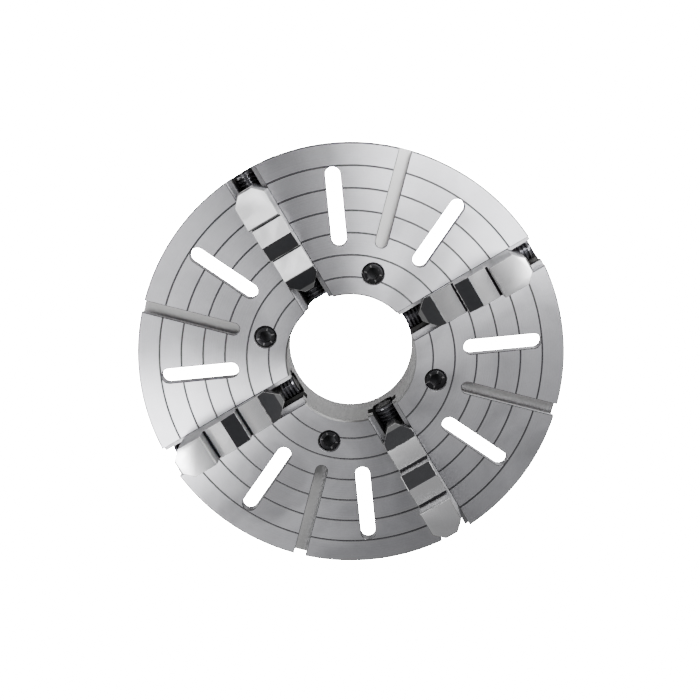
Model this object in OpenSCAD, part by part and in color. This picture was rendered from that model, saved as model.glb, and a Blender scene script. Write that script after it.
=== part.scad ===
// Four-jaw independent lathe chuck with a large through bore, T-slots and through slots.
// Millimetres. The origin is the centre of the back face, +Z is the spindle axis towards the
// work, and jaw 1 lies along +X.

/* [Body] */
// Outside diameter of the body
body_d = 630; // [600:5:760]
// Thickness of the body, from the back face to the front face
body_h = 120; // [100:1:150]
// Diameter of the through bore
bore_d = 190; // [160:1:230]
// Chamfer on the rim and on the mouth of the bore
edge_chamfer = 2; // [0.5:0.5:4]
// Chamfer along the slots in the front face
slot_chamfer = 0.8; // [0.4:0.1:1.5]
// Thickness of the front web over the rear pockets
web_h = 20; // [14:1:30]
// Width of the rim's lip around the rear pockets
rim_w = 15; // [10:1:20]
// Depth of the rim's lip and of the ribs, from the front face
rim_depth = 50; // [44:1:60]
// Wall on each side of a jaw's guide
box_wall = 24; // [20:1:28]
// Width of the radial rib behind each T-slot
rib_w = 52; // [44:1:60]
// Corner radius of the rear pockets
pocket_r = 10; // [3:1:14]

/* [Face grooves] */
// Radial distance from the bore to the innermost groove
ring_inset = 26.5; // [8:0.5:40]
// Radial distance from one groove to the next
ring_pitch = 32.2; // [16:0.1:50]
// Smallest radial distance from a groove to the rim
ring_margin = 30; // [10:1:60]
// Width of a groove
ring_w = 2.2; // [1:0.1:4]
// Depth of a groove
ring_depth = 1.4; // [0.5:0.1:3]

/* [T-slots] */
// Width of the mouth
tee_w = 18; // [14:1:22]
// Depth of the mouth, down to the head space
tee_mouth = 12; // [8:1:16]
// Width of the head space
tee_head_w = 30; // [24:1:36]
// Height of the head space
tee_head_h = 12; // [8:1:16]
// Radial distance from the hub to the closed end
tee_from_hub = 13; // [10:1:40]

/* [Through slots] */
// Width of a through slot
clamp_w = 22; // [14:1:26]
// Radial distance from the hub to the inner end
clamp_from_hub = 11; // [4:1:30]
// Radial distance from the outer end to the rim
clamp_from_rim = 33.5; // [30:0.5:60]
// Angle between a through slot and the nearest T-slot
clamp_angle = 20; // [18:0.5:22]

/* [Jaw guides] */
// Depth of the guide rails below the front face
rail_depth = 17; // [14:1:20]
// Thickness of the guide rails
rail_h = 15; // [12:1:18]
// Width of each guide rail
rail_w = 7; // [5:0.5:9]
// Clearance between a jaw and its guides, on each side
slide_gap = 0.15; // [0.05:0.01:0.3]

/* [Jaws] */
// Width of a jaw
jaw_w = 48.5; // [40:0.5:60]
// Distance from the axis to the tip of a jaw
jaw_tip = 119; // [104:1:143]
// Length of the sloping nose
nose_len = 29; // [26:1:40]
// Width of the flat at the tip of the nose
nose_flat = 13; // [6:1:20]
// Length of the low step
low_len = 33.5; // [20:0.5:40]
// Length of the sloping face above the first riser
slope_len = 23; // [10:0.5:30]
// Length of the middle step
mid_len = 27.5; // [20:0.5:40]
// Length of the high step
high_len = 53; // [40:0.5:60]
// Width of the relief groove at the foot of each riser
relief_w = 3; // [1:0.5:4]
// Depth of the relief groove
relief_depth = 2; // [1:0.5:4]
// Height of the low step above the front face
low_h = 12; // [8:1:24]
// Rise from one step to the next
step_h = 27.5; // [20:0.5:34]
// Rise of the sloping face up to the middle step
slope_h = 7.5; // [3:0.5:12]
// Drop of the nose from the low step to its tip
nose_drop = 16; // [10:1:30]
// Chamfer at the top of the last riser and of the outer end
riser_chamfer = 1.8; // [0.5:0.1:3]
// Bevel on the corners of the outer end
tail_bevel = 15; // [5:1:18]

/* [Jaw screws] */
// Outside diameter of the thread
thread_d = 32; // [30:1:40]
// Pitch of the thread
thread_pitch = 6; // [4:0.5:8]
// Depth of the thread
thread_depth = 3.5; // [2:0.25:4]
// Depth of the screw's axis below the front face
screw_depth = 60; // [56:1:66]
// Height of the jaw's underside above the axis of its screw
nut_above_axis = 4; // [2:0.5:6]
// Diameter of the neck that the yoke holds
neck_d = 22; // [16:1:24]
// Width of the neck
neck_w = 16; // [12:1:20]
// Distance from the axis of the chuck to the middle of the neck
neck_at = 206; // [190:1:225]
// Distance that the inner end of the screw stands back from the bore
screw_bore_inset = 2; // [1:0.5:6]
// Distance that the outer end of the screw stands back from the rim
screw_rim_inset = 4; // [1:0.5:6]
// Width of the square key socket
key_w = 14; // [11:1:15]
// Depth of the key socket
key_depth = 30; // [15:1:40]
// Clearance around the thread in the body
thread_gap = 0.9; // [0.3:0.1:1.5]
// Clearance around the thread under the jaw
nut_gap = 0.45; // [0.2:0.05:1]
// Clearance of the neck in its yoke
neck_gap = 0.05; // [0.02:0.01:0.1]

/* [Thrust yokes] */
// Thickness of the yoke's arms beside the neck
yoke_arm = 10; // [8:1:12]
// Length of the yoke's foot, across the screw
foot_l = 78; // [74:1:84]
// Width of the yoke's foot, along the screw
foot_w = 26; // [22:1:34]
// Thickness of the yoke's foot
foot_h = 16; // [13:1:20]
// Clearance around a yoke in the body and between the screw's shoulders
yoke_gap = 0.1; // [0.05:0.05:0.3]
// Spacing of the two screws that hold a yoke
foot_screw_spacing = 60; // [58:1:62]
// Thread diameter of those screws
foot_screw_d = 8; // [6:1:8]
// Length of those screws under the head
foot_screw_l = 25; // [20:1:30]

/* [Mounting] */
// Width of the ledge around the bore that forms the locating register
register_lip = 10; // [5:1:14]
// Depth of the locating register
register_depth = 8; // [4:1:10]
// Radial distance from the register to the circle of mounting screws
mount_from_register = 25; // [18:1:30]
// Thread diameter of the mounting screws
mount_d = 20; // [16:2:20]
// Depth of the counterbore for their heads
mount_cbore_depth = 22; // [20:1:34]
// Distance that the mounting screws stand out of the back face
mount_reach = 22; // [15:1:40]
// Clearance around the shank of a mounting screw in its hole
mount_gap = 2; // [1.2:0.1:2.5]
// Wall of the hub outside the holes of the mounting screws
hub_wall = 14; // [12:1:24]
// Clearance of a screw's shank in its hole, and of its head in the counterbore
bolt_gap = 1; // [0.5:0.1:1.5]
// Core diameter of the tapped lifting hole in the rim
lift_d = 14; // [10:1:16]
// Depth of the lifting hole
lift_depth = 40; // [20:1:60]
// Depth of the lifting hole's axis below the front face
lift_below = 37; // [34:1:40]

/* [Hidden] */
$fn = 96;
over = 1;                                    // how far a cut runs past the face it starts from

// Socket head cap screws, in proportion to their thread diameter.
function head_d(d) = 1.5 * d;
function head_h(d) = d;
function hex_af(d) = 0.85 * d;

// Radii, from the bore outwards.
body_r = body_d / 2;
bore_r = bore_d / 2;
register_r = bore_r + register_lip;
mount_at = register_r + mount_from_register;
hub_r = mount_at + mount_d / 2 + mount_gap + hub_wall;
pocket_out_r = body_r - rim_w;

// Heights of the jaw guides, from the back face.
rail_top = body_h - rail_depth;
rail_bottom = rail_top - rail_h;
screw_z = body_h - screw_depth;
jaw_bottom = screw_z + nut_above_axis;
guide_floor = jaw_bottom - slide_gap;
yoke_top = guide_floor - yoke_gap;
mount_seat = body_h - mount_cbore_depth;

// Stations along a jaw, from the axis of the chuck, and the heights of its steps.
low_at = jaw_tip + nose_len;
riser_1 = low_at + low_len + relief_w;
mid_at = riser_1 + slope_len;
riser_2 = mid_at + mid_len + relief_w;
jaw_end = riser_2 + high_len;
low_z = body_h + low_h;
mid_z = low_z + step_h;
high_z = mid_z + step_h;

thread_r = thread_d / 2;
box_half = jaw_w / 2 + box_wall;
yoke_half = neck_d / 2 + yoke_arm;

// Turns its children from jaw 1 to the given jaw.
module at_jaw(k) rotate([0, 0, 90 * (k - 1)]) children();

module at_every_jaw() for (k = [1:4]) at_jaw(k) children();

// Turns its children from +X to the middle of every quadrant.
module at_every_quadrant() rotate([0, 0, 45]) at_every_jaw() children();

// A bar along X whose section is drawn in Y and Z.
module bar_x(from, to)
    translate([from, 0, 0]) rotate([90, 0, 90]) linear_extrude(to - from) children();

// A rod along X at height z.
module rod_x(r, from, to, z)
    translate([from, 0, z]) rotate([0, 90, 0]) cylinder(r = r, h = to - from);

// A slot along X with round ends, cut from height z upwards.
module round_slot(w, from, to, z) {
    translate([0, 0, z])
        linear_extrude(body_h + over - z) {
            translate([from, -w / 2]) square([to - from, w]);
            for (x = [from, to]) translate([x, 0]) circle(d = w);
        }
}

// The chamfer where a slot along X meets the front face.
module slot_mouth(w, from, to) {
    rise = slot_chamfer + over;
    bar_x(from, to)
        polygon([
            [-w / 2, body_h - slot_chamfer], [w / 2, body_h - slot_chamfer],
            [w / 2 + rise, body_h + over], [-w / 2 - rise, body_h + over]
        ]);
    for (x = [from, to])
        translate([x, 0, body_h - slot_chamfer]) cylinder(d1 = w, d2 = w + 2 * rise, h = rise);
}

// The turned blank, before any slot is cut.
module body_blank() {
    c = edge_chamfer;
    rotate_extrude()
        polygon([
            [register_r, 0],
            [body_r - c, 0], [body_r, c],
            [body_r, body_h - c], [body_r - c, body_h],
            [bore_r + c, body_h], [bore_r, body_h - c],
            [bore_r, register_depth], [register_r, register_depth]
        ]);
}

module face_grooves() {
    first = bore_r + ring_inset;
    for (r = [first : ring_pitch : body_r - ring_margin])
        rotate_extrude()
            translate([r, body_h])
                polygon([
                    [-ring_w / 2, over], [-ring_w / 2, 0],
                    [-ring_w / 4, -ring_depth], [ring_w / 4, -ring_depth],
                    [ring_w / 2, 0], [ring_w / 2, over]
                ]);
}

// A jaw's guide: the top channel, the gap between the rails, the lower channel and the
// round channel of the screw.
module jaw_guide() {
    wide = jaw_w / 2 + slide_gap;
    narrow = jaw_w / 2 - rail_w;
    from = bore_r / 2;
    to = body_r + over;
    bar_x(from, to) {
        translate([-wide, rail_top]) square([2 * wide, body_h + over - rail_top]);
        translate([-narrow, rail_bottom - over]) square([2 * narrow, rail_h + 2 * over]);
        translate([-wide, guide_floor]) square([2 * wide, rail_bottom - guide_floor]);
    }
    slot_mouth(2 * wide, from, to);
    rod_x(thread_r + thread_gap, from, to, screw_z);
}

// The pocket that a thrust yoke is pushed into from the back.
module yoke_pocket() {
    g = yoke_gap;
    translate([neck_at - neck_w / 2, -yoke_half - g, -over])
        cube([neck_w, 2 * (yoke_half + g), jaw_bottom + over]);
    translate([neck_at - foot_w / 2 - g, -foot_l / 2 - g, -over])
        cube([foot_w + 2 * g, foot_l + 2 * g, foot_h + g + over]);
    for (s = [-1, 1])
        translate([neck_at, s * foot_screw_spacing / 2, 0])
            cylinder(d = foot_screw_d, h = foot_screw_l + head_h(foot_screw_d) + 2 * bolt_gap);
}

module tee_slot() {
    from = hub_r + tee_from_hub + tee_w / 2;
    to = body_r + tee_head_w;
    below = body_h - tee_mouth - tee_head_h;
    round_slot(tee_w, from, to, below);
    translate([0, 0, below])
        linear_extrude(tee_head_h) {
            translate([from, -tee_head_w / 2]) square([to - from, tee_head_w]);
            translate([from, 0]) circle(d = tee_head_w);
        }
    slot_mouth(tee_w, from, to);
}

module clamp_slot() {
    from = hub_r + clamp_from_hub + clamp_w / 2;
    to = body_r - clamp_from_rim - clamp_w / 2;
    round_slot(clamp_w, from, to, body_h - web_h - over);
    slot_mouth(clamp_w, from, to);
}

// Points along an arc from angle a to angle b.
function arc(centre, r, a, b, steps) =
    [for (i = [0 : steps]) let (t = a + (b - a) * i / steps) centre + r * [cos(t), sin(t)]];

// Centre of a corner fillet between a wall at distance w from the X axis and a circle about
// the axis. The fillet lies outside the circle when side is 1, and inside it when side is -1.
function corner(circle_r, w, side) =
    let (across = w + pocket_r, reach = circle_r + side * pocket_r)
        [sqrt(reach * reach - across * across), across];

// A point mirrored from the side of jaw 1 to the side of the rib at 45 degrees.
function on_rib(p) = [p[0] + p[1], p[0] - p[1]] / sqrt(2);

function bearing(p) = atan2(p[1], p[0]);

// One rear pocket, between the box of jaw 1, the rib at 45 degrees, the hub and the rim.
module pocket_outline() {
    box_in = corner(hub_r, box_half, 1);
    box_out = corner(pocket_out_r, box_half, -1);
    rib_in = on_rib(corner(hub_r, rib_w / 2, 1));
    rib_out = on_rib(corner(pocket_out_r, rib_w / 2, -1));
    steps = 8;
    polygon(concat(
        arc(box_in, pocket_r, bearing(box_in) + 180, 270, steps),
        arc(box_out, pocket_r, -90, bearing(box_out), steps),
        arc([0, 0], pocket_out_r, bearing(box_out), bearing(rib_out), 2 * steps),
        arc(rib_out, pocket_r, bearing(rib_out), 135, steps),
        arc(rib_in, pocket_r, 135, bearing(rib_in) + 180, steps),
        arc([0, 0], hub_r, bearing(rib_in), bearing(box_in), steps)
    ));
}

// The space behind the lip and the ribs in one quadrant, between two jaw boxes and the hub.
module open_quarter_outline() {
    first = corner(hub_r, box_half, 1);
    last = [first[1], first[0]];
    steps = 8;
    polygon(concat(
        [[body_d, box_half]], [[body_d, body_d]], [[box_half, body_d]],
        arc(last, pocket_r, 180, bearing(last) + 180, steps),
        arc([0, 0], hub_r, bearing(last), bearing(first), 2 * steps),
        arc(first, pocket_r, bearing(first) + 180, 270, steps)
    ));
}

module rear_hollows() {
    translate([0, 0, -over]) {
        linear_extrude(body_h - web_h + over)
            for (k = [1:4], m = [0, 1])
                rotate(90 * k) mirror([0, m, 0]) pocket_outline();
        linear_extrude(body_h - rim_depth + over)
            for (k = [1:4]) rotate(90 * k) open_quarter_outline();
    }
}

// The hole of a mounting screw, from the seat of its head to the back face.
module mount_hole() {
    cbore_d = head_d(mount_d) + 3 * bolt_gap;
    rise = slot_chamfer + over;
    translate([mount_at, 0, 0]) {
        translate([0, 0, -over]) cylinder(d = mount_d + 2 * mount_gap, h = body_h);
        translate([0, 0, mount_seat]) cylinder(d = cbore_d, h = body_h);
        translate([0, 0, body_h - slot_chamfer])
            cylinder(d1 = cbore_d, d2 = cbore_d + 2 * rise, h = rise);
    }
}

module chuck_body() {
    color("lightgray")
        difference() {
            body_blank();
            face_grooves();
            rear_hollows();
            at_every_jaw() {
                jaw_guide();
                yoke_pocket();
            }
            at_every_quadrant() {
                tee_slot();
                mount_hole();
                for (s = [-1, 1]) rotate([0, 0, s * clamp_angle]) clamp_slot();
            }
            rotate([0, 0, 45]) rod_x(lift_d / 2, body_r - lift_depth, body_r + over, body_h - lift_below);
        }
}

// Side view of a jaw: nose, low step, sloping face, middle step and high step.
module jaw_profile() {
    polygon([
        [jaw_tip, jaw_bottom],
        [jaw_end, jaw_bottom],
        [jaw_end, high_z - riser_chamfer],
        [jaw_end - riser_chamfer, high_z],
        [riser_2 + riser_chamfer, high_z],
        [riser_2, high_z - riser_chamfer],
        [riser_2, mid_z - relief_depth],
        [riser_2 - relief_w, mid_z - relief_depth],
        [riser_2 - relief_w, mid_z],
        [mid_at, mid_z],
        [riser_1, mid_z - slope_h],
        [riser_1, low_z - relief_depth],
        [riser_1 - relief_w, low_z - relief_depth],
        [riser_1 - relief_w, low_z],
        [low_at, low_z],
        [jaw_tip, low_z - nose_drop]
    ]);
}

// Top view of a jaw: a pointed nose and a bevelled outer end.
module jaw_outline() {
    w = jaw_w / 2;
    f = nose_flat / 2;
    polygon([
        [jaw_tip, f], [jaw_tip + w - f, w],
        [jaw_end - tail_bevel, w], [jaw_end, w - tail_bevel],
        [jaw_end, tail_bevel - w], [jaw_end - tail_bevel, -w],
        [jaw_tip + w - f, -w], [jaw_tip, -f]
    ]);
}

module jaw() {
    groove = rail_w + slide_gap;
    from = jaw_tip - over;
    to = jaw_end + over;
    color("silver")
        difference() {
            intersection() {
                translate([0, jaw_w / 2, 0])
                    rotate([90, 0, 0]) linear_extrude(jaw_w) jaw_profile();
                linear_extrude(high_z + over) jaw_outline();
            }
            for (m = [0, 1])
                mirror([0, m, 0])
                    translate([from, jaw_w / 2 - groove, rail_bottom - slide_gap])
                        cube([to - from, groove + over, rail_h + 2 * slide_gap]);
            rod_x(thread_r + nut_gap, from, to, screw_z);
        }
}

// Half section of a threaded length of a jaw screw, with the thread drawn as rings.
module thread_half(from, to) {
    turns = floor((to - from) / thread_pitch);
    flank = thread_depth * tan(15);
    crest = thread_pitch / 2 - flank;
    root_r = thread_r - thread_depth;
    ridge = [
        [root_r, flank], [thread_r, 2 * flank],
        [thread_r, 2 * flank + crest], [root_r, 3 * flank + crest]
    ];
    polygon(concat(
        [[0, from], [root_r, from]],
        [for (i = [0 : turns - 1], p = ridge) p + [0, from + i * thread_pitch]],
        [[root_r, to], [0, to]]
    ));
}

module jaw_screw() {
    inner = bore_r + screw_bore_inset;
    outer = body_r - screw_rim_inset;
    color("dimgray")
        difference() {
            translate([0, 0, screw_z])
                rotate([0, 90, 0]) {
                    rotate_extrude() thread_half(inner, neck_at - neck_w / 2);
                    rotate_extrude() thread_half(neck_at + neck_w / 2, outer);
                    translate([0, 0, neck_at - neck_w / 2]) cylinder(d = neck_d, h = neck_w);
                }
            translate([outer - key_depth, -key_w / 2, screw_z - key_w / 2])
                cube([key_depth + over, key_w, key_w]);
        }
}

module thrust_yoke() {
    thick = neck_w - 2 * yoke_gap;
    fork_r = neck_d / 2 + neck_gap;
    from = neck_at - foot_w;
    to = neck_at + foot_w;
    color("gray")
        difference() {
            union() {
                translate([neck_at - thick / 2, -yoke_half, 0])
                    cube([thick, 2 * yoke_half, yoke_top]);
                translate([neck_at - foot_w / 2, -foot_l / 2, 0]) cube([foot_w, foot_l, foot_h]);
            }
            rod_x(fork_r, from, to, screw_z);
            translate([from, -fork_r, screw_z]) cube([to - from, 2 * fork_r, screw_depth]);
            for (s = [-1, 1])
                translate([neck_at, s * foot_screw_spacing / 2, -over]) {
                    cylinder(d = foot_screw_d + bolt_gap, h = foot_h + 2 * over);
                    cylinder(d = head_d(foot_screw_d) + bolt_gap,
                             h = head_h(foot_screw_d) + bolt_gap + over);
                }
        }
}

// A socket head cap screw: the seat of its head is at Z = 0 and its shank points along +Z.
module cap_screw(d, l) {
    difference() {
        union() {
            translate([0, 0, -head_h(d)]) cylinder(d = head_d(d), h = head_h(d));
            cylinder(d = d, h = l);
        }
        translate([0, 0, -head_h(d) - over])
            cylinder(d = hex_af(d) / cos(30), h = head_h(d) / 2 + over, $fn = 6);
    }
}

module yoke_screw_pair() {
    color("dimgray")
        for (s = [-1, 1])
            translate([neck_at, s * foot_screw_spacing / 2, head_h(foot_screw_d) + bolt_gap])
                cap_screw(foot_screw_d, foot_screw_l);
}

module mounting_screw() {
    color("dimgray")
        rotate([0, 0, 45])
            translate([mount_at, 0, mount_seat])
                rotate([180, 0, 0]) cap_screw(mount_d, mount_seat + mount_reach);
}

chuck_body();
for (k = [1:4]) {
    at_jaw(k) jaw();
    at_jaw(k) jaw_screw();
    at_jaw(k) thrust_yoke();
    at_jaw(k) yoke_screw_pair();
    at_jaw(k) mounting_screw();
}
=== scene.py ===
import bmesh
import bpy
import math
from mathutils import Matrix, Vector


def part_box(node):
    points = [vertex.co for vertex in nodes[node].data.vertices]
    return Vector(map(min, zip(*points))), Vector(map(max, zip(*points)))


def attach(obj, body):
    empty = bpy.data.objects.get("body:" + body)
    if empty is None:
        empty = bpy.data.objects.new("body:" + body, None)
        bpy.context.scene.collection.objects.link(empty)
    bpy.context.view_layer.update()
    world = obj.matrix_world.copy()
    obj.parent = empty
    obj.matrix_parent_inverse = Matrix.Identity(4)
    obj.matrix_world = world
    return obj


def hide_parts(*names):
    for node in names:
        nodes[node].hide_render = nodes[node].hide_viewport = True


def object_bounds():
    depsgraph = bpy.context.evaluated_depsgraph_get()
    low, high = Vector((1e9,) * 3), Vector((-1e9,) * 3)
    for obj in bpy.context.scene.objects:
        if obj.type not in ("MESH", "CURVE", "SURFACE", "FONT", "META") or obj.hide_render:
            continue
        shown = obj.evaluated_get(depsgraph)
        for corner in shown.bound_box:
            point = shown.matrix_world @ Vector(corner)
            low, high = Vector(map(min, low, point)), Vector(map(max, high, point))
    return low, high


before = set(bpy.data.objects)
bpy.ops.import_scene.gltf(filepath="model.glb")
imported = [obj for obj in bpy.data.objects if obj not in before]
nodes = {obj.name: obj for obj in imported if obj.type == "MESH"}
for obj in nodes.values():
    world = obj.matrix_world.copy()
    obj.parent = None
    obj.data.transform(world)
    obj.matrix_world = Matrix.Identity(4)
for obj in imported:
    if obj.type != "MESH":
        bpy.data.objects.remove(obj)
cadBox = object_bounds()                       # the CAD model's box, before anything is added
mm = 0.001
jawNumbers = (1, 2, 3, 4)
print("frame loaded:", len(nodes), "nodes")

# The chuck's own levels and radii, read from the frame.
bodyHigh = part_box("chuck_body")[1]
faceZ = bodyHigh.z
rimR = bodyHigh.x
boreR = 95 * mm                            # no node's box gives the bore
screwLow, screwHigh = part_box("jaw_screw_1")
screwZ = (screwLow.z + screwHigh.z) / 2
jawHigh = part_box("jaw_1")[1]
yokeLow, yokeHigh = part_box("thrust_yoke_1")


def addNode(tree, kind, inputs=None, **settings):
    node = tree.nodes.new(kind)
    for name, value in settings.items():
        setattr(node, name, value)
    for key, value in (inputs or {}).items():
        if isinstance(value, bpy.types.NodeSocket):
            tree.links.new(value, node.inputs[key])
        else:
            node.inputs[key].default_value = value
    return node


def calc(tree, operation, a, b=0.0, c=0.0, clamp=False):
    node = addNode(tree, "ShaderNodeMath", {0: a, 1: b, 2: c}, operation=operation, use_clamp=clamp)
    return node.outputs[0]


def vectorCalc(tree, operation, a, b=(0.0, 0.0, 0.0), scale=None):
    node = addNode(tree, "ShaderNodeVectorMath", {0: a, 1: b}, operation=operation)
    if scale is not None:
        if isinstance(scale, bpy.types.NodeSocket):
            tree.links.new(scale, node.inputs["Scale"])
        else:
            node.inputs["Scale"].default_value = scale
    return node.outputs["Value" if operation in ("LENGTH", "DOT_PRODUCT") else "Vector"]


def ramp(tree, value, low, high, outLow=0.0, outHigh=1.0):
    node = addNode(tree, "ShaderNodeMapRange", {"Value": value, "From Min": low, "From Max": high,
                                                "To Min": outLow, "To Max": outHigh})
    node.interpolation_type = "SMOOTHSTEP"
    return node.outputs[0]


def band(tree, value, low, high, soft):
    rise = ramp(tree, value, low - soft, low)
    fall = ramp(tree, value, high, high + soft, 1.0, 0.0)
    return calc(tree, "MULTIPLY", rise, fall)


def mixColour(tree, factor, a, b):
    node = addNode(tree, "ShaderNodeMix", {"Factor": factor, 6: a, 7: b}, data_type="RGBA")
    return node.outputs[2]


def mixValue(tree, factor, a, b):
    return addNode(tree, "ShaderNodeMix", {"Factor": factor, 2: a, 3: b}).outputs[0]


def grey(v, tint=0.0):
    return (v, v, v * (1 + tint), 1.0)


def newGroup(name, kind, inputs, outputs):
    group = bpy.data.node_groups.new(name, kind)
    for socketName, socketType, value in inputs:
        socket = group.interface.new_socket(socketName, in_out="INPUT", socket_type=socketType)
        if value is not None:
            socket.default_value = value
    for socketName, socketType in outputs:
        group.interface.new_socket(socketName, in_out="OUTPUT", socket_type=socketType)
    return group, group.nodes.new("NodeGroupInput").outputs, group.nodes.new("NodeGroupOutput").inputs


def useGroup(tree, group, inputs):
    kind = "ShaderNodeGroup" if group.bl_idname == "ShaderNodeTree" else "GeometryNodeGroup"
    node = tree.nodes.new(kind)
    node.node_tree = group
    for key, value in inputs.items():
        if isinstance(value, bpy.types.NodeSocket):
            tree.links.new(value, node.inputs[key])
        else:
            node.inputs[key].default_value = value
    return node.outputs


def buildGrain():
    # Fine mottling of metal: a value about one half, and a height for a bump.
    group, given, out = newGroup("metalGrain", "ShaderNodeTree", [
        ("Position", "NodeSocketVector", None), ("Scale", "NodeSocketFloat", 400.0),
        ("Detail", "NodeSocketFloat", 4.0)], [("Value", "NodeSocketFloat"), ("Height", "NodeSocketFloat")])
    fine = addNode(group, "ShaderNodeTexNoise", {"Vector": given["Position"], "Scale": given["Scale"],
                                                 "Detail": given["Detail"], "Roughness": 0.6})
    coarse = addNode(group, "ShaderNodeTexNoise", {
        "Vector": given["Position"], "Scale": calc(group, "MULTIPLY", given["Scale"], 0.12), "Detail": 3.0})
    group.links.new(mixValue(group, 0.5, fine.outputs[0], coarse.outputs[0]), out["Value"])
    group.links.new(fine.outputs[0], out["Height"])
    return group


def buildLines():
    # Tool marks that run along one direction: they vary only with the distance given.
    group, given, out = newGroup("toolMarks", "ShaderNodeTree", [
        ("Distance", "NodeSocketFloat", 0.0), ("Spacing", "NodeSocketFloat", 0.0008),
        ("Position", "NodeSocketVector", None)], [("Value", "NodeSocketFloat")])
    across = calc(group, "DIVIDE", given["Distance"], given["Spacing"])
    marks = addNode(group, "ShaderNodeTexNoise", {"W": across, "Scale": 1.0, "Detail": 5.0,
                                                  "Roughness": 0.75}, noise_dimensions="1D")
    patch = addNode(group, "ShaderNodeTexNoise", {"Vector": given["Position"], "Scale": 9.0,
                                                  "Detail": 2.0})
    depth = ramp(group, patch.outputs[0], 0.35, 0.65, 0.55, 1.0)
    centred = calc(group, "SUBTRACT", marks.outputs[0], 0.5)
    group.links.new(calc(group, "MULTIPLY_ADD", centred, depth, 0.5), out["Value"])
    return group


def buildWear():
    # Bright edges, broken up by noise.
    group, given, out = newGroup("edgeWear", "ShaderNodeTree", [
        ("Position", "NodeSocketVector", None), ("Start", "NodeSocketFloat", 0.53),
        ("Break Up", "NodeSocketFloat", 0.05)], [("Edge", "NodeSocketFloat")])
    point = group.nodes.new("ShaderNodeNewGeometry").outputs["Pointiness"]
    noise = addNode(group, "ShaderNodeTexNoise", {"Vector": given["Position"], "Scale": 260.0,
                                                  "Detail": 3.0})
    shift = calc(group, "MULTIPLY", calc(group, "SUBTRACT", noise.outputs[0], 0.5), given["Break Up"])
    level = calc(group, "SUBTRACT", calc(group, "ADD", point, shift), given["Start"])
    group.links.new(ramp(group, level, 0.0, 0.03), out["Edge"])
    return group


def buildFilm():
    # Oil and handling marks: large soft patches with a few finer smears.
    group, given, out = newGroup("oilFilm", "ShaderNodeTree", [
        ("Position", "NodeSocketVector", None), ("Size", "NodeSocketFloat", 7.0)],
        [("Value", "NodeSocketFloat")])
    wide = addNode(group, "ShaderNodeTexNoise", {"Vector": given["Position"], "Scale": given["Size"],
                                                 "Detail": 5.0, "Roughness": 0.55, "Distortion": 0.6})
    group.links.new(ramp(group, wide.outputs[0], 0.3, 0.7), out["Value"])
    return group


grain, lines, wear, film = buildGrain(), buildLines(), buildWear(), buildFilm()


def startMaterial(name, roughness, metallic):
    material = bpy.data.materials.new(name)
    material.use_nodes = True
    tree = material.node_tree
    shader = tree.nodes["Principled BSDF"]
    shader.inputs["Roughness"].default_value = roughness
    shader.inputs["Metallic"].default_value = metallic
    position = tree.nodes.new("ShaderNodeTexCoord").outputs["Object"]
    return material, tree, shader, position


def setBump(tree, shader, height, distance):
    bump = addNode(tree, "ShaderNodeBump", {"Height": height, "Distance": distance})
    tree.links.new(bump.outputs[0], shader.inputs["Normal"])


def brokenEdge(tree, position):
    # How bright an edge has been rubbed: the edge faces carry the mark, and noise breaks it up.
    mark = addNode(tree, "ShaderNodeAttribute", attribute_name="worn").outputs["Fac"]
    noise = addNode(tree, "ShaderNodeTexNoise", {"Vector": position, "Scale": 90.0, "Detail": 4.0})
    return calc(tree, "MULTIPLY", mark, ramp(tree, noise.outputs[0], 0.35, 0.6))


bodyFinish = {
    "faceTone": 0.60, "sideTone": 0.42, "castTone": 0.12, "grooveShadeTone": 0.11, "slotTone": 0.5,
    "boreTone": 0.24, "troughShadeTone": 0.05,
    "firstRing": 121.5 * mm, "ringPitch": 32.2 * mm, "ringHalf": 1.25 * mm,
    "faceRoughness": 0.36, "sideRoughness": 0.42, "castRoughness": 0.78,
    "anisotropy": 0.78, "markSpacing": 0.9 * mm, "markDepth": 0.012 * mm,
    # Widths from the middle of a jaw guide or a rib, and depths below the face.
    "guideHalf": 24.4 * mm, "boxHalf": 47.6 * mm, "teeHalf": 22.0 * mm, "ribHalf": 36.2 * mm,
    "chamfer": 2.0 * mm, "teeTop": 20.5 * mm, "teeFloor": 30.0 * mm, "guideTop": 17.8 * mm,
    "web": 19.7 * mm,
    "innerRing": 115.0 * mm, "hubR": 155.0 * mm,
}


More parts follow.
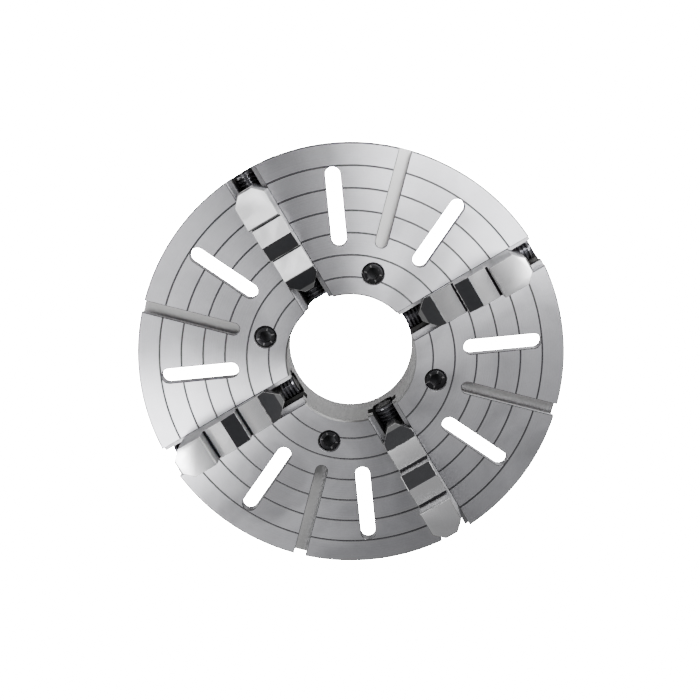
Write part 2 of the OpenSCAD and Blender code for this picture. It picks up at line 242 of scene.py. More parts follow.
def makeBodySteel():
    s = bodyFinish
    material, tree, shader, position = startMaterial("turnedCastIron", 0.4, 1.0)
    part = addNode(tree, "ShaderNodeSeparateXYZ", {0: position}).outputs
    flat = vectorCalc(tree, "MULTIPLY", position, (1.0, 1.0, 0.0))
    radius = vectorCalc(tree, "LENGTH", flat)
    height = part[2]
    alongX, alongY = (calc(tree, "ABSOLUTE", part[i]) for i in (0, 1))

    nearAxis = calc(tree, "MINIMUM", alongX, alongY)
    nearRib = calc(tree, "ABSOLUTE", calc(tree, "SUBTRACT", alongX, alongY))

    edges = calc(tree, "MULTIPLY",
                 band(tree, height, faceZ - s["chamfer"], faceZ - 0.25 * mm, 0.1 * mm),
                 band(tree, radius, boreR + 2.8 * mm, rimR - 3.0 * mm, 0.3 * mm))
    # Painted shade darkens the chamfers of the slots, the ring grooves and just beside them.
    start = s["firstRing"] - 20 * s["ringPitch"]
    fromRing = calc(tree, "PINGPONG", calc(tree, "SUBTRACT", radius, start), s["ringPitch"] / 2)
    rings = ramp(tree, fromRing, s["ringHalf"] - 0.15 * mm, s["ringHalf"] + 0.35 * mm, 1.0, 0.0)
    rings = calc(tree, "MULTIPLY", rings, ramp(tree, radius, s["innerRing"], s["innerRing"] + 1.0 * mm))
    rings = calc(tree, "MULTIPLY", rings,
                 ramp(tree, height, faceZ - s["chamfer"], faceZ - s["chamfer"] + 0.2 * mm))
    chamferAndGrooveShade = calc(tree, "MAXIMUM", edges, rings)
    # The heads of the T-slots.
    slot = calc(tree, "MULTIPLY",
                band(tree, height, faceZ - s["teeFloor"], faceZ - s["teeTop"], 0.3 * mm),
                ramp(tree, nearRib, s["teeHalf"], s["teeHalf"] + 0.3 * mm, 1.0, 0.0))
    # Cast surfaces: inside the rear pockets, clear of the jaw boxes and of the ribs.
    cast = calc(tree, "MULTIPLY", ramp(tree, nearAxis, s["boxHalf"], s["boxHalf"] + 0.4 * mm),
                ramp(tree, nearRib, s["ribHalf"], s["ribHalf"] + 0.5 * mm))
    cast = calc(tree, "MULTIPLY", cast, ramp(tree, radius, s["hubR"], s["hubR"] + 0.4 * mm))
    cast = calc(tree, "MULTIPLY", cast, band(tree, height, 0.4 * mm, faceZ - s["web"], 0.2 * mm))
    cast = calc(tree, "MULTIPLY", cast, ramp(tree, radius, rimR - 0.6 * mm, rimR - 0.4 * mm, 1.0, 0.0))

    upright = ramp(tree, height, faceZ - s["chamfer"] - 0.2 * mm, faceZ - s["chamfer"], 1.0, 0.0)
    along = mixValue(tree, upright, radius, height)
    marks = useGroup(tree, lines, {"Distance": along, "Spacing": s["markSpacing"], "Position": position})[0]
    mottle = useGroup(tree, grain, {"Position": position, "Scale": 420.0})
    oil = useGroup(tree, film, {"Position": position, "Size": 6.0})[0]

    tone = mixColour(tree, upright, grey(s["faceTone"], 0.05), grey(s["sideTone"], 0.04))
    streak = ramp(tree, marks, 0.2, 0.8, 0.86, 1.1)
    patch = ramp(tree, oil, 0.0, 1.0, 0.93, 1.04)
    shade = calc(tree, "MULTIPLY", streak, patch)
    shade = calc(tree, "MULTIPLY", shade, ramp(tree, mottle[0], 0.2, 0.8, 0.94, 1.06))
    tone = vectorCalc(tree, "SCALE", tone, scale=shade)
    tone = mixColour(tree, slot, tone, grey(s["slotTone"]))
    # Painted shade: the bore and its chamfer are darkened as they see little light, and the trough of each
    # jaw screw is painted near black.
    bore = ramp(tree, radius, boreR + s["chamfer"] - 0.1 * mm, boreR + s["chamfer"] + 0.2 * mm, 1.0, 0.0)
    tone = mixColour(tree, bore, tone, grey(s["boreTone"]))
    guideTop = faceZ - s["guideTop"]
    troughShade = calc(tree, "MULTIPLY",
                  ramp(tree, nearAxis, s["guideHalf"], s["guideHalf"] + 0.2 * mm, 1.0, 0.0),
                  ramp(tree, height, guideTop, guideTop + 0.4 * mm, 1.0, 0.0))
    troughShade = calc(tree, "MULTIPLY", troughShade, ramp(tree, height, 0.4 * mm, 0.8 * mm))
    troughShade = calc(tree, "MULTIPLY", troughShade,
                  band(tree, radius, boreR + 0.3 * mm, rimR - 0.4 * mm, 0.2 * mm))
    tone = mixColour(tree, troughShade, tone, grey(s["troughShadeTone"]))
    # Painted shade on the slot chamfers and the ring grooves.
    tone = mixColour(tree, chamferAndGrooveShade, tone, grey(s["grooveShadeTone"], 0.05))
    castTone = mixColour(tree, mottle[0], grey(s["castTone"] * 0.7), grey(s["castTone"] * 1.3, 0.04))
    tone = mixColour(tree, cast, tone, castTone)
    tree.links.new(tone, shader.inputs["Base Color"])

    rough = mixValue(tree, upright, s["faceRoughness"], s["sideRoughness"])
    rough = calc(tree, "ADD", rough, ramp(tree, oil, 0.0, 1.0, -0.04, 0.05))
    rough = mixValue(tree, cast, rough, s["castRoughness"])
    rough = mixValue(tree, chamferAndGrooveShade, rough, 0.6)
    tree.links.new(rough, shader.inputs["Roughness"])
    metal = calc(tree, "SUBTRACT", 1.0, calc(tree, "MULTIPLY", cast, 0.65))
    tree.links.new(metal, shader.inputs["Metallic"])

    lumps = calc(tree, "MULTIPLY", calc(tree, "MULTIPLY", mottle[1], cast), 40.0)
    relief = calc(tree, "MULTIPLY", calc(tree, "SUBTRACT", marks, 0.5), calc(tree, "SUBTRACT", 1.0, cast))
    relief = calc(tree, "ADD", relief, lumps)
    setBump(tree, shader, relief, s["markDepth"])
    # Turning lines run round the axis, so light spreads across them: outwards on the face, up on a wall.
    outwards = vectorCalc(tree, "NORMALIZE", flat)
    normal = tree.nodes.new("ShaderNodeNewGeometry").outputs["True Normal"]
    steep = vectorCalc(tree, "DOT_PRODUCT", normal, (0.0, 0.0, 1.0))
    wall = calc(tree, "LESS_THAN", calc(tree, "ABSOLUTE", steep), 0.7)
    spread = addNode(tree, "ShaderNodeMix", {"Factor": wall, 4: outwards, 5: (0.0, 0.0, 1.0)},
                     data_type="VECTOR").outputs[1]
    tree.links.new(spread, shader.inputs["Tangent"])
    shader.inputs["Anisotropic"].default_value = s["anisotropy"]
    return material


jawFinish = {
    "padTone": 0.9, "sideTone": 0.26, "scaleAndShadeTone": 0.012, "padRoughness": 0.34,
    "sideRoughness": 0.5, "darkRoughness": 0.6, "scratch": 0.003 * mm, "anisotropy": 0.75,
    # Heights above the face of the nose, the slope and the reliefs at the feet of the two risers.
    "noseTop": 12.2 * mm, "slope": (31.4 * mm, 39.6 * mm),
    "reliefs": ((8.0 * mm, 11.4 * mm), (35.0 * mm, 39.0 * mm)),
    "half": 23.2 * mm, "outerEnd": 2.0 * mm,
}


def makeJawSteel():
    s = jawFinish
    material, tree, shader, position = startMaterial("groundJawSteel", 0.3, 1.0)
    part = addNode(tree, "ShaderNodeSeparateXYZ", {0: position}).outputs
    alongX, alongY = (calc(tree, "ABSOLUTE", part[i]) for i in (0, 1))
    station = calc(tree, "MAXIMUM", alongX, alongY)     # distance out along whichever jaw this is
    across = calc(tree, "MINIMUM", alongX, alongY)
    height = part[2]
    normal = addNode(tree, "ShaderNodeSeparateXYZ",
                     {0: tree.nodes.new("ShaderNodeNewGeometry").outputs["True Normal"]}).outputs[2]
    tilted = band(tree, normal, 0.5, 0.985, 0.01)
    inside = ramp(tree, across, s["half"], s["half"] + 0.3 * mm, 1.0, 0.0)
    noseTop = faceZ + s["noseTop"]
    nose = calc(tree, "MULTIPLY", tilted, ramp(tree, height, noseTop, noseTop + 0.2 * mm, 1.0, 0.0))
    low, high = s["slope"]
    slope = calc(tree, "MULTIPLY", tilted, band(tree, height, faceZ + low, faceZ + high, 0.2 * mm))
    slope = calc(tree, "MULTIPLY", slope, inside)
    # Painted shade darkens the relief at the foot of each step.
    reliefShade = calc(tree, "MAXIMUM", *(band(tree, height, faceZ + a, faceZ + b, 0.2 * mm)
                                     for a, b in s["reliefs"]))
    end = jawHigh.x - s["outerEnd"]
    reliefShade = calc(tree, "MULTIPLY", reliefShade, inside)
    reliefShade = calc(tree, "MULTIPLY", reliefShade, ramp(tree, station, end, end + 1.0 * mm, 1.0, 0.0))
    upward = ramp(tree, normal, 0.985, 0.995)
    scaleAndReliefShade = calc(tree, "MAXIMUM", calc(tree, "MAXIMUM", nose, slope), reliefShade)
    belowFaceShade = ramp(tree, height, faceZ - 0.5 * mm, faceZ - 0.1 * mm, 1.0, 0.0)

    marks = useGroup(tree, lines, {"Distance": across, "Spacing": 0.7 * mm, "Position": position})[0]
    mottle = useGroup(tree, grain, {"Position": position, "Scale": 700.0})
    scale = useGroup(tree, grain, {"Position": position, "Scale": 120.0})
    edge = brokenEdge(tree, position)
    oil = useGroup(tree, film, {"Position": position, "Size": 22.0})[0]

    tone = mixColour(tree, upward, grey(s["sideTone"], 0.02), grey(s["padTone"], 0.02))
    shade = calc(tree, "MULTIPLY", ramp(tree, marks, 0.2, 0.8, 0.93, 1.05),
                 ramp(tree, oil, 0.0, 1.0, 0.88, 1.03))
    tone = vectorCalc(tree, "SCALE", tone, scale=shade)
    scaleAndShadeTone = mixColour(tree, scale[0], grey(s["scaleAndShadeTone"] * 0.7, 0.1), grey(s["scaleAndShadeTone"] * 1.8, 0.12))
    # Dark scale on the nose and the slope, and painted shade in the reliefs.
    tone = mixColour(tree, scaleAndReliefShade, tone, scaleAndShadeTone)
    # Painted shade on the jaw below the level of the face.
    tone = mixColour(tree, calc(tree, "MULTIPLY", belowFaceShade, 0.5), tone, grey(0.12))
    tone = mixColour(tree, calc(tree, "MULTIPLY", edge, 0.3), tone, grey(0.8))
    tree.links.new(tone, shader.inputs["Base Color"])

    rough = mixValue(tree, upward, s["sideRoughness"], s["padRoughness"])
    rough = calc(tree, "ADD", rough, ramp(tree, oil, 0.0, 1.0, 0.06, -0.03))
    rough = mixValue(tree, scaleAndReliefShade, rough, s["darkRoughness"])
    tree.links.new(rough, shader.inputs["Roughness"])
    metal = calc(tree, "SUBTRACT", 1.0, calc(tree, "MULTIPLY", scaleAndReliefShade, 0.6))
    tree.links.new(metal, shader.inputs["Metallic"])
    relief = calc(tree, "ADD", marks, calc(tree, "MULTIPLY", calc(tree, "MULTIPLY", scale[1], scaleAndReliefShade), 3.0))
    relief = calc(tree, "ADD", relief, calc(tree, "MULTIPLY", mottle[1], 0.4))
    setBump(tree, shader, relief, s["scratch"])
    # The grinding lines run out along each jaw, so light spreads across it.
    onX = calc(tree, "GREATER_THAN", alongX, alongY)
    spread = addNode(tree, "ShaderNodeCombineXYZ", {0: calc(tree, "SUBTRACT", 1.0, onX), 1: onX, 2: 0.1})
    tree.links.new(spread.outputs[0], shader.inputs["Tangent"])
    shader.inputs["Anisotropic"].default_value = s["anisotropy"]
    tree.links.new(mixValue(tree, scaleAndReliefShade, 0.5, 0.15), shader.inputs["Specular IOR Level"])
    return material


def makeBlackOxide(name, tone, roughness, edgeTone):
    material, tree, shader, position = startMaterial(name, roughness, 0.75)
    mottle = useGroup(tree, grain, {"Position": position, "Scale": 520.0})
    worn = useGroup(tree, wear, {"Position": position, "Start": 0.56, "Break Up": 0.08})
    oil = useGroup(tree, film, {"Position": position, "Size": 40.0})[0]
    colour = mixColour(tree, mottle[0], grey(tone * 0.6, 0.1), grey(tone * 1.5, 0.14))
    colour = mixColour(tree, calc(tree, "MULTIPLY", worn[0], 0.6), colour, grey(edgeTone))
    # Painted shade: the ends of the jaw screws at the bore are painted near black and made dull.
    flat = vectorCalc(tree, "MULTIPLY", position, (1.0, 1.0, 0.0))
    end = ramp(tree, vectorCalc(tree, "LENGTH", flat), boreR + 3.4 * mm, boreR + 4.4 * mm, 1.0, 0.0)
    colour = mixColour(tree, end, colour, grey(0.02))
    tree.links.new(colour, shader.inputs["Base Color"])
    rough = ramp(tree, oil, 0.0, 1.0, roughness + 0.08, roughness - 0.06)
    tree.links.new(mixValue(tree, end, rough, 0.6), shader.inputs["Roughness"])
    setBump(tree, shader, mottle[1], 0.003 * mm)
    return material


def makeYokeSteel():
    material, tree, shader, position = startMaterial("milledYokeSteel", 0.42, 1.0)
    part = addNode(tree, "ShaderNodeSeparateXYZ", {0: position}).outputs
    diagonal = calc(tree, "ADD", part[0], part[1])
    marks = useGroup(tree, lines, {"Distance": diagonal, "Spacing": 1.1 * mm, "Position": position})[0]
    edge = brokenEdge(tree, position)
    oil = useGroup(tree, film, {"Position": position, "Size": 30.0})[0]
    tone = mixColour(tree, marks, grey(0.3), grey(0.46, 0.03))
    tone = mixColour(tree, calc(tree, "MULTIPLY", edge, 0.7), tone, grey(0.75))
    tree.links.new(tone, shader.inputs["Base Color"])
    tree.links.new(ramp(tree, oil, 0.0, 1.0, 0.5, 0.34), shader.inputs["Roughness"])
    setBump(tree, shader, marks, 0.01 * mm)
    return material


floorGlow = {"room": 0.15, "camera": 40.0}


def makeFloor():
    material, tree, shader, position = startMaterial("paleFloor", 0.9, 0.0)
    shader.inputs["Base Color"].default_value = grey(0.9)
    shader.inputs["Emission Color"].default_value = grey(1.0)
    seen = tree.nodes.new("ShaderNodeLightPath").outputs["Is Camera Ray"]
    glow = mixValue(tree, seen, floorGlow["room"], floorGlow["camera"])
    tree.links.new(glow, shader.inputs["Emission Strength"])
    return material


bodySteel, jawSteel, yokeSteel = makeBodySteel(), makeJawSteel(), makeYokeSteel()
screwBlack = makeBlackOxide("oxideScrew", 0.11, 0.22, 0.5)
boltBlack = makeBlackOxide("oxideBolt", 0.012, 0.34, 0.2)
print("materials ready")


def setFinish(obj, material):
    if obj.material_slots:
        for slot in obj.material_slots:
            slot.material = material
    else:
        obj.data.materials.append(material)


def newObject(name, mesh):
    obj = bpy.data.objects.new(name, mesh)
    bpy.context.scene.collection.objects.link(obj)
    return obj


def shadeByAngle(bm, degrees):
    limit = math.radians(degrees)
    for face in bm.faces:
        face.smooth = True
    for edge in bm.edges:
        edge.smooth = len(edge.link_faces) == 2 and edge.calc_face_angle(0.0) < limit


def toMesh(bm, name, degrees=32):
    bmesh.ops.recalc_face_normals(bm, faces=bm.faces)
    shadeByAngle(bm, degrees)
    mesh = bpy.data.meshes.new(name)
    bm.to_mesh(mesh)
    bm.free()
    return mesh


def evaluated(obj):
    # The result of an object's modifiers as a plain mesh; the object is then removed.
    graph = bpy.context.evaluated_depsgraph_get()
    mesh = bpy.data.meshes.new_from_object(obj.evaluated_get(graph), depsgraph=graph)
    bpy.data.objects.remove(obj)
    return mesh


def latheInto(bm, profile, sides):
    # A closed shape from a profile of (radius, height) about the Z axis. Its ends are on the axis.
    rings = []
    for r, z in profile:
        if r < 1e-7:
            rings.append([bm.verts.new((0, 0, z))])
        else:
            rings.append([bm.verts.new((r * math.cos(a), r * math.sin(a), z))
                          for a in (2 * math.pi * i / sides for i in range(sides))])
    for low, high in zip(rings, rings[1:]):
        for i in range(sides):
            j = (i + 1) % sides
            if len(low) == 1:
                bm.faces.new((low[0], high[i], high[j]))
            elif len(high) == 1:
                bm.faces.new((low[i], low[j], high[0]))
            else:
                bm.faces.new((low[i], low[j], high[j], high[i]))


def runTree(name, tree, values):
    # Runs a Geometry Nodes tree on an empty mesh and returns the mesh that it makes.
    obj = newObject(name, bpy.data.meshes.new(name))
    modifier = obj.modifiers.new("shape", "NODES")
    modifier.node_group = tree
    for item in tree.interface.items_tree:
        if item.in_out == "INPUT" and item.name in values:
            modifier[item.identifier] = values[item.name]
    return evaluated(obj)


def finishTree(group, geometry, material, out):
    real = addNode(group, "GeometryNodeRealizeInstances", {"Geometry": geometry})
    painted = addNode(group, "GeometryNodeSetMaterial", {"Geometry": real.outputs[0], "Material": material})
    group.links.new(painted.outputs[0], out)


def buildThread():
    # The skin of a trapezoidal thread along +X. Four rows of points make one turn of the profile,
    # and each column stands a little further round, so the seam meets the next turn.
    number, count = "NodeSocketFloat", "NodeSocketInt"
    group, given, out = newGroup("threadSkin", "GeometryNodeTree", [
        ("Start", number, 0.0), ("Length", number, 0.1), ("Pitch", number, 0.006),
        ("Outer Radius", number, 0.016), ("Root Radius", number, 0.0125),
        ("Flank", number, 0.16), ("Crest", number, 0.34), ("Hand", number, -1.0),
        ("Lead In", number, 0.003), ("Sides", count, 56), ("Material", "NodeSocketMaterial", None)],
        [("Geometry", "NodeSocketGeometry")])
    group.is_modifier = True
    # Two spare turns stand past each end, where the rod is cut square.
    turns = calc(group, "CEIL", calc(group, "DIVIDE", given["Length"], given["Pitch"]))
    turns = calc(group, "ADD", turns, 4.0)
    rows = calc(group, "MULTIPLY", turns, 4.0)
    columns = calc(group, "ADD", given["Sides"], 1.0)
    grid = addNode(group, "GeometryNodeMeshGrid", {"Vertices X": rows, "Vertices Y": columns})
    index = group.nodes.new("GeometryNodeInputIndex").outputs[0]
    row = calc(group, "FLOOR", calc(group, "DIVIDE", calc(group, "ADD", index, 0.5), columns))
    column = calc(group, "SUBTRACT", index, calc(group, "MULTIPLY", row, columns))
    turn = calc(group, "FLOOR", calc(group, "DIVIDE", calc(group, "ADD", row, 0.5), 4.0))
    step = calc(group, "SUBTRACT", row, calc(group, "MULTIPLY", turn, 4.0))
    rise = calc(group, "MULTIPLY", calc(group, "GREATER_THAN", step, 0.5), given["Flank"])
    top = calc(group, "MULTIPLY", calc(group, "GREATER_THAN", step, 1.5), given["Crest"])
    fall = calc(group, "MULTIPLY", calc(group, "GREATER_THAN", step, 2.5), given["Flank"])
    phase = calc(group, "ADD", calc(group, "ADD", rise, top), fall)
    share = calc(group, "DIVIDE", column, given["Sides"])
    turned = calc(group, "ADD", calc(group, "ADD", turn, phase),
                  calc(group, "MULTIPLY", share, given["Hand"]))
    along = calc(group, "MULTIPLY", calc(group, "SUBTRACT", turned, 1.5), given["Pitch"])
    crest = calc(group, "MULTIPLY", calc(group, "GREATER_THAN", step, 0.5),
                 calc(group, "LESS_THAN", step, 2.5))
    radius = mixValue(group, crest, given["Root Radius"], given["Outer Radius"])
    toEnd = calc(group, "MINIMUM", along, calc(group, "SUBTRACT", given["Length"], along))
    bevel = calc(group, "SUBTRACT", calc(group, "ADD", given["Outer Radius"], toEnd), given["Lead In"])
    floor = calc(group, "MULTIPLY", given["Root Radius"], 0.9)
    limited = calc(group, "MAXIMUM", calc(group, "MINIMUM", radius, bevel), floor)
    angle = calc(group, "MULTIPLY", share, 2 * math.pi)
    place = addNode(group, "ShaderNodeCombineXYZ", {
        0: calc(group, "ADD", along, given["Start"]),
        1: calc(group, "MULTIPLY", limited, calc(group, "COSINE", angle)),
        2: calc(group, "MULTIPLY", limited, calc(group, "SINE", angle))})
    moved = addNode(group, "GeometryNodeSetPosition", {"Geometry": grid.outputs[0],
                                                       "Position": place.outputs[0]})
    welded = addNode(group, "GeometryNodeMergeByDistance", {"Geometry": moved.outputs[0], "Distance": 1e-6})
    finishTree(group, welded.outputs[0], given["Material"], out["Geometry"])
    return group


threadTree = buildThread()


def threadBody(values):
    # A closed threaded rod: the skin is cut square at both ends and the ends are filled.
    mesh = runTree("thread", threadTree, values)
    bm = bmesh.new()
    bm.from_mesh(mesh)
    start, end = values["Start"], values["Start"] + values["Length"]
    for x, outward in ((start, -1), (end, 1)):
        parts = bm.verts[:] + bm.edges[:] + bm.faces[:]
        bmesh.ops.bisect_plane(bm, geom=parts, plane_co=(x, 0, 0), plane_no=(outward, 0, 0),
                               clear_outer=True, dist=1e-7)
    loose = [v for v in bm.verts if not v.link_faces]
    bmesh.ops.delete(bm, geom=loose, context="VERTS")
    bmesh.ops.remove_doubles(bm, verts=bm.verts, dist=1e-7)
    bmesh.ops.holes_fill(bm, edges=[e for e in bm.edges if e.is_boundary], sides=0)
    bmesh.ops.recalc_face_normals(bm, faces=bm.faces)
    bm.to_mesh(mesh)
    bm.free()
    return mesh


def boxCutter(low, high):
    cutter = bmesh.new()
    bmesh.ops.create_cube(cutter, size=1.0)
    bmesh.ops.scale(cutter, vec=Vector(high) - Vector(low), verts=cutter.verts)
    bmesh.ops.translate(cutter, vec=(Vector(high) + Vector(low)) / 2, verts=cutter.verts)
    return cutter


def subtract(mesh, cutter):
    # Cuts one closed shape out of another.
    tool = newObject("cutter", toMesh(cutter, "cutter"))
    target = newObject("target", mesh)
    cut = target.modifiers.new("cut", "BOOLEAN")
    cut.operation, cut.object, cut.solver = "DIFFERENCE", tool, "EXACT"
    result = evaluated(target)
    bpy.data.objects.remove(tool)
    return result


def quarterCopies(mesh, name, bodies, replaced, material):
    # Four copies of a mesh made for jaw 1, turned to their own jaws in the mesh itself.
    mesh.materials.clear()
    mesh.materials.append(material)
    for n in jawNumbers:
        copy = mesh.copy()
        copy.transform(Matrix.Rotation(math.radians(90 * (n - 1)), 4, "Z"))
        piece = newObject(f"{name}_{n}", copy)
        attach(piece, bodies.format(n))
        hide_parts(replaced.format(n))


jawScrew = {
    "pitch": 6 * mm, "depth": 3.5 * mm, "neckR": 11 * mm, "neckW": 16 * mm,
    "keyW": 14 * mm, "keyDepth": 30 * mm, "chamfer": 3 * mm, "over": 1 * mm,
}


def makeJawScrews():
    s = jawScrew
    over = s["over"]
    outerR = (screwHigh.z - screwLow.z) / 2
    neckAt = (yokeLow.x + yokeHigh.x) / 2
    spans = ((screwLow.x, neckAt - s["neckW"] / 2), (neckAt + s["neckW"] / 2, screwHigh.x))
    bm = bmesh.new()
    for i, (start, end) in enumerate(spans):
        mesh = threadBody({"Start": start, "Length": end - start, "Pitch": s["pitch"],
                           "Outer Radius": outerR, "Root Radius": outerR - s["depth"], "Hand": -1.0,
                           "Lead In": s["chamfer"], "Material": screwBlack})
        if i == 1:
            half = s["keyW"] / 2
            mesh = subtract(mesh, boxCutter((end - s["keyDepth"], -half, -half), (end + over, half, half)))
        bm.from_mesh(mesh)
    neck = bmesh.new()
    neckEnd = s["neckW"] + over
    latheInto(neck, [(0, -over), (s["neckR"], -over), (s["neckR"], neckEnd), (0, neckEnd)], 64)
    place = Matrix.Translation((spans[0][1], 0, 0)) @ Matrix.Rotation(math.pi / 2, 4, "Y")
    bmesh.ops.transform(neck, matrix=place, verts=neck.verts)
    bm.from_mesh(toMesh(neck, "neck"))
    bmesh.ops.translate(bm, vec=(0, 0, screwZ), verts=bm.verts)
    mesh = toMesh(bm, "jawScrew", 30)
    quarterCopies(mesh, "jawScrew", "jaw_screw_{}_spindle", "jaw_screw_{}", screwBlack)


makeJawScrews()
print("jaw screws made")


softEdge = {"jaw": 0.7 * mm, "yoke": 0.5 * mm, "angle": 25, "shade": 15}


def softened(node, width, name):
    # A copy of a CAD node with its sharp edges broken.
    bm = bmesh.new()
    bm.from_mesh(nodes[node].data)
    bmesh.ops.remove_doubles(bm, verts=bm.verts, dist=1e-6)
    bmesh.ops.dissolve_limit(bm, angle_limit=math.radians(0.5), verts=bm.verts, edges=bm.edges)
    bmesh.ops.recalc_face_normals(bm, faces=bm.faces)
    worn = bm.faces.layers.float.new("worn")
    limit = math.radians(softEdge["angle"])
    sharp = [e for e in bm.edges
             if len(e.link_faces) == 2 and e.calc_face_angle_signed(0.0) > limit]
    made = bmesh.ops.bevel(bm, geom=sharp, offset=width, offset_type="OFFSET", segments=2,
                           profile=0.5, affect="EDGES", clamp_overlap=True)
    for face in made["faces"]:
        face[worn] = 1.0
    return toMesh(bm, name, softEdge["shade"])


quarterCopies(softened("jaw_1", softEdge["jaw"], "jaw"), "jaw", "jaw_{}_slider", "jaw_{}",
              jawSteel)
quarterCopies(softened("thrust_yoke_1", softEdge["yoke"], "yoke"), "thrustYoke", "chuck",
              "thrust_yoke_{}", yokeSteel)
print("jaws and yokes made")


def buildKnurl():
    # Small ridges in a ring about the Z axis.
    number = "NodeSocketFloat"
    group, given, out = newGroup("knurlRing", "GeometryNodeTree", [
        ("Count", "NodeSocketInt", 60), ("Radius", number, 0.0145), ("Ridge", number, 0.0005),
        ("Low", number, 0.0), ("High", number, 0.01), ("Material", "NodeSocketMaterial", None)],
        [("Geometry", "NodeSocketGeometry")])
    group.is_modifier = True
    height = calc(group, "SUBTRACT", given["High"], given["Low"])
    middle = calc(group, "MULTIPLY", calc(group, "ADD", given["High"], given["Low"]), 0.5)
    ring = addNode(group, "GeometryNodeMeshCircle", {"Vertices": given["Count"],
                                                     "Radius": given["Radius"]})
    ridge = addNode(group, "GeometryNodeMeshCylinder", {"Vertices": 4, "Radius": given["Ridge"],
                                                        "Depth": height})
    lift = addNode(group, "ShaderNodeCombineXYZ", {2: middle})
    index = group.nodes.new("GeometryNodeInputIndex").outputs[0]
    angle = calc(group, "MULTIPLY", calc(group, "DIVIDE", index, given["Count"]), 2 * math.pi)
    turn = addNode(group, "ShaderNodeCombineXYZ", {2: angle})
    spread = addNode(group, "GeometryNodeInstanceOnPoints", {
        "Points": ring.outputs[0], "Instance": ridge.outputs[0], "Rotation": turn.outputs[0]})
    up = addNode(group, "GeometryNodeTransform", {"Geometry": spread.outputs[0],
                                                  "Translation": lift.outputs[0]})
    finishTree(group, up.outputs[0], given["Material"], out["Geometry"])
    return group


knurlTree = buildKnurl()
# In shares of the thread's diameter, apart from the counts.
capScrew = {"socketDepth": 0.5, "crown": 0.06, "knurls": 64, "threadLength": 2.3, "sides": 96}
headRatio = 1.5


def capScrewMesh(d, length, pitch):
    # A socket head cap screw along +Z, with the seat of its head at zero and its shank below.
    s = capScrew
    headR, headH, hexR = headRatio * d / 2, d, 0.85 * d / 2 / math.cos(math.pi / 6)
    c = s["crown"] * d
    ridge = 0.02 * d
    threadL = min(s["threadLength"] * d, length * 0.8)
    depth = s["socketDepth"] * d
    bm = bmesh.new()
    latheInto(bm, [(0, 0), (headR - 0.4 * c, 0), (headR - ridge, 0.5 * c), (headR - ridge, headH - 1.6 * c),
                   (headR - 1.3 * ridge, headH - 1.1 * c), (headR - c, headH - 0.3 * c),
                   (headR - 1.9 * c, headH), (0, headH)], s["sides"])
    socket = bmesh.new()
    latheInto(socket, [(0, headH - depth - 0.25 * hexR), (hexR, headH - depth), (hexR, headH + c),
                       (0, headH + c)], 6)

    whole = bmesh.new()
    whole.from_mesh(subtract(toMesh(bm, "head", 40), socket))
    whole.from_mesh(runTree("knurl", knurlTree, {
        "Count": s["knurls"], "Radius": headR - ridge, "Ridge": ridge, "Low": 0.8 * c,
        "High": headH - 2.0 * c, "Material": boltBlack}))
    shank = bmesh.new()
    latheInto(shank, [(0, 0.5 * c), (d / 2, 0.5 * c), (d / 2, threadL - length), (0, threadL - length)], 48)
    whole.from_mesh(toMesh(shank, "shank"))
    thread = threadBody({"Start": 0.0, "Length": threadL + 0.2 * d, "Pitch": pitch, "Outer Radius": d / 2,
                         "Root Radius": d / 2 - 0.6 * pitch, "Flank": 0.4, "Crest": 0.1, "Hand": 1.0,
                         "Lead In": 0.7 * pitch, "Sides": 40, "Material": boltBlack})
    thread.transform(Matrix.Translation((0, 0, -length)) @ Matrix.Rotation(-math.pi / 2, 4, "Y"))
    whole.from_mesh(thread)
    return toMesh(whole, "capScrew", 35)


def makeMountingScrews():
    low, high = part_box("mounting_screw_1")
    d = (high.x - low.x) / headRatio
    headTop = high.z
    mesh = capScrewMesh(d, headTop - d - low.z, 2.5 * mm)
    centre = (low + high) / 2
    turned = Matrix.Rotation(math.radians(17), 4, "Z")       # no socket lines up with its neighbours
    mesh.transform(Matrix.Translation((centre.x, centre.y, headTop - d)) @ turned)
    quarterCopies(mesh, "mountingScrew", "chuck", "mounting_screw_{}", boltBlack)


def makeYokeScrews():
    low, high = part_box("yoke_screws_1")
    d = (high.x - low.x) / headRatio
    seat = low.z + d
    single = capScrewMesh(d, high.z - seat, 1.25 * mm)
    pair = bmesh.new()
    for side in (-1, 1):
        copy = single.copy()
        place = Matrix.Translation(((low.x + high.x) / 2, side * (high.y - headRatio * d / 2), seat))
        copy.transform(place @ Matrix.Rotation(math.pi, 4, "X"))
        pair.from_mesh(copy)
    mesh = toMesh(pair, "yokeScrews", 35)
    quarterCopies(mesh, "yokeScrews", "chuck", "yoke_screws_{}", boltBlack)


makeMountingScrews()
makeYokeScrews()
print("cap screws made")

setFinish(nodes["chuck_body"], bodySteel)

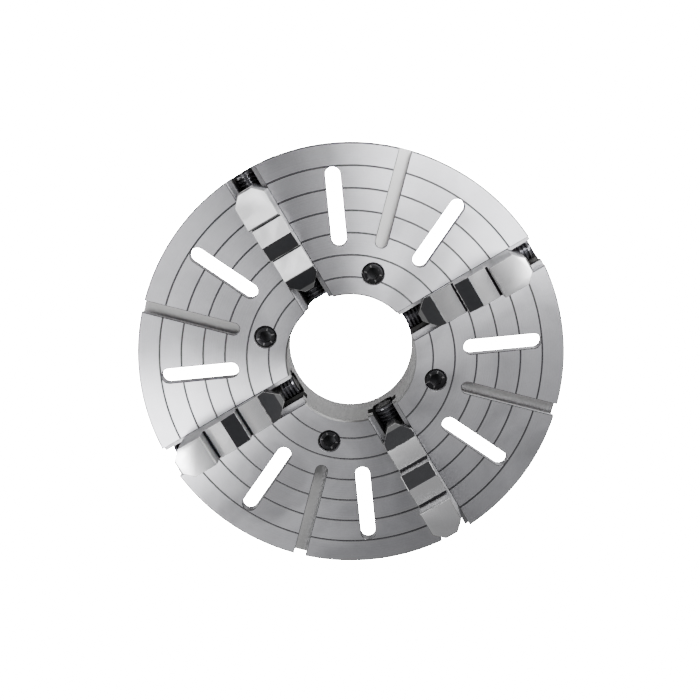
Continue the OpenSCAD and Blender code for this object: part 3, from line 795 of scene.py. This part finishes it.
# Directions on the face are given as the camera sees it: 0 degrees is to its right, 90 is up.
view = {"turn": 30.6, "lens": 62.4, "eye": (-1.4, 352, 1756), "aim": (-1.4, 13, 0)}
room = {"strength": 0.27, "floorSize": 6.0}
lightRig = (
    # bearing, elevation, distance, size, watts
    (28, 44, 0.85, 0.3, 6),
    (66, 46, 0.8, 0.4, 7),
    (212, 44, 0.8, 0.3, 5),
    (162, 46, 1.0, 0.6, 3.5),
)


def onFace(x, y, z):
    # A point given from the camera's side of the face, in millimetres from the face's centre.
    a = math.radians(-view["turn"])
    flat = Vector((math.cos(a) * x - math.sin(a) * y, math.sin(a) * x + math.cos(a) * y, z))
    return flat * mm + Vector((0, 0, faceZ))


def lookAt(obj, eye, aim, up):
    back = (eye - aim).normalized()
    right = up.cross(back).normalized()
    over = back.cross(right)
    obj.matrix_world = Matrix.Translation(eye) @ Matrix((right, over, back)).transposed().to_4x4()


cameraData = bpy.data.cameras.new("camera")
cameraData.lens, cameraData.sensor_width, cameraData.clip_end = view["lens"], 36, 50
camera = newObject("camera", cameraData)
lookAt(camera, onFace(*view["eye"]), onFace(*view["aim"]), onFace(0, 1, 0) - onFace(0, 0, 0))
bpy.context.scene.camera = camera

for i, (bearing, elevation, distance, size, watts) in enumerate(lightRig):
    a, e = math.radians(bearing), math.radians(elevation)
    towards = (math.cos(a) * math.cos(e), math.sin(a) * math.cos(e), math.sin(e))
    eye = onFace(*(distance / mm * v for v in towards))
    lampData = bpy.data.lights.new(f"softLight{i}", "AREA")
    lampData.size, lampData.energy = size, watts
    lamp = newObject(f"softLight{i}", lampData)
    lookAt(lamp, eye, Vector((0, 0, faceZ)), Vector((0, 0, 1)))

world = bpy.data.worlds.new("softRoom")
world.use_nodes = True
background = world.node_tree.nodes["Background"].inputs
background["Color"].default_value, background["Strength"].default_value = grey(1.0), room["strength"]
bpy.context.scene.world = world

floorMesh = bmesh.new()
bmesh.ops.create_grid(floorMesh, x_segments=1, y_segments=1, size=room["floorSize"])
bmesh.ops.translate(floorMesh, vec=(0, 0, cadBox[0].z), verts=floorMesh.verts)
floor = newObject("floor", toMesh(floorMesh, "floor"))
setFinish(floor, makeFloor())
